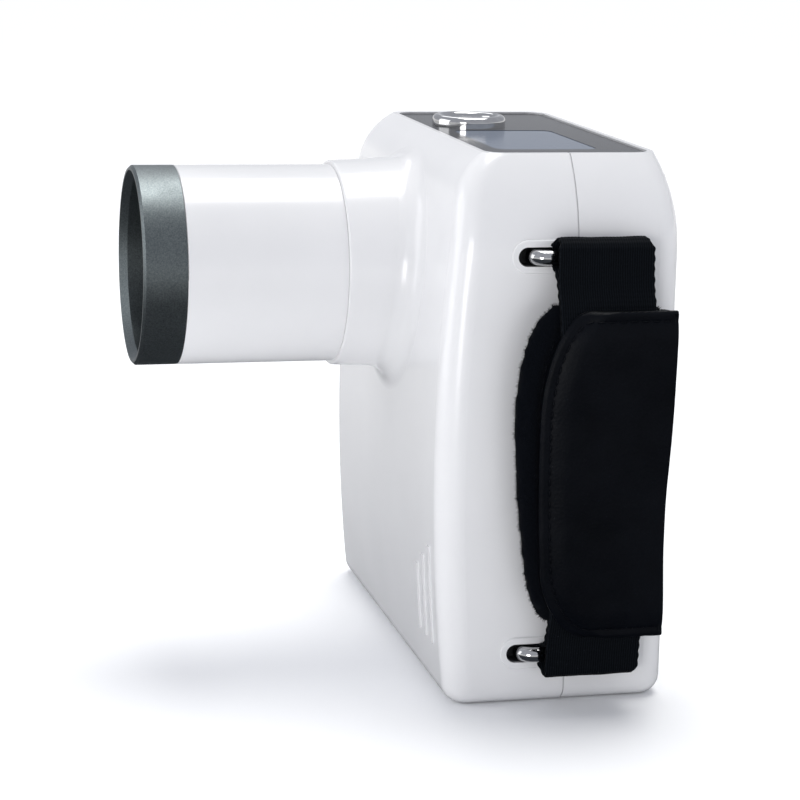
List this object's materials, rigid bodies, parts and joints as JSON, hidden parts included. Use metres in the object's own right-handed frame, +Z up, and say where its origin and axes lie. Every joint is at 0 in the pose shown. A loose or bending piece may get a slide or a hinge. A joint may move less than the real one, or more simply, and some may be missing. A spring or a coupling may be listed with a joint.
{
  "type": "intraoral x-ray unit",
  "caption": "Handheld dental x-ray unit: box-shaped casing with a round beam cone, top display, push button and side hand strap.",
  "frame": {"origin": "mouth of the threaded tripod socket, on the flat base", "axes": "+Z up, -Y along the beam, out of the cone's mouth, +X the side with the hand strap"},
  "size_m": [0.1713, 0.1617, 0.1764],
  "materials": {
    "white_shell": "gloss",
    "dark_ring": "fine metallic satin",
    "panel_gloss": "high gloss",
    "lcd_grey": "gloss, blank",
    "chrome": "bright",
    "steel": "plain",
    "webbing_black": "cross-ribbed weave",
    "pad_black": "brushed loop pile",
    "leather_black": "fine grain with stitching",
    "circuit_green": "satin",
    "black_plastic": "satin",
    "grey_button": "satin",
    "copper": "bare copper",
    "lead": "dull",
    "aluminium": "cast",
    "glass": "clear",
    "clear_plastic": "smoked, satin",
    "brass": "turned",
    "rubber": "matte",
    "ferrite": "matte",
    "cell_blue": "satin wrap"
  },
  "bodies": {
    "casing": {"front_shell": "white_shell", "rear_shell": "white_shell", "case_screws": "steel", "screw_plugs": "white_shell", "tripod_insert": "brass", "cone_tube": "white_shell", "cone_end_ring": "dark_ring", "lead_liner": "lead", "beam_window": "clear_plastic", "collimator": "lead", "aluminium_filter": "aluminium", "tank_housing": "aluminium", "tank_seal": "rubber", "tank_lid": "aluminium", "tank_lid_screws": "steel", "tank_screws": "steel", "xray_tube_glass": "glass", "anode": "copper", "tungsten_target": "steel", "cathode_cup": "steel", "transformer_core": "ferrite", "transformer_coil": "copper", "voltage_multiplier": "circuit_green", "display_panel": "panel_gloss", "lcd_window": "lcd_grey", "lcd_module": "black_plastic", "display_board": "circuit_green", "display_screws": "steel", "exposure_bezel": "chrome", "exposure_spring": "steel", "exposure_switch": "black_plastic", "power_switch": "black_plastic", "power_board": "circuit_green", "charging_jack": "black_plastic", "battery_case": "black_plastic", "battery_cells": "cell_blue", "main_board": "circuit_green", "board_standoffs": "brass", "board_screws": "steel", "buzzer": "black_plastic", "upper_strap_bar": "chrome", "lower_strap_bar": "chrome", "strap_bar_nuts": "steel", "strap_webbing": "webbing_black", "strap_pad": "pad_black", "strap_spine": "leather_black"},
    "exposure_button": {"exposure_button": "chrome"},
    "power_button": {"power_button": "grey_button"},
    "strap_cover": {"strap_cover": "leather_black"}
  },
  "joints": [
    {"name": "exposure_press", "type": "slide", "parent": "casing", "child": "exposure_button", "axis": [0, 0, -1], "range_m": [0, 0.0015], "stiffness_N_per_m": 800, "springref_m": -0.001, "deforming": ["exposure_spring"]},
    {"name": "power_press", "type": "slide", "parent": "casing", "child": "power_button", "axis": [0, -0.9701, -0.2425], "range_m": [0, 0.001], "stiffness_N_per_m": 1200, "springref_m": -0.0005},
    {"name": "cover_open", "type": "hinge", "parent": "casing", "child": "strap_cover", "pos_m": [0.0907, 0.0425, 0.077], "axis": [0, 0, 1], "range_deg": [0, 120]}
  ]
}
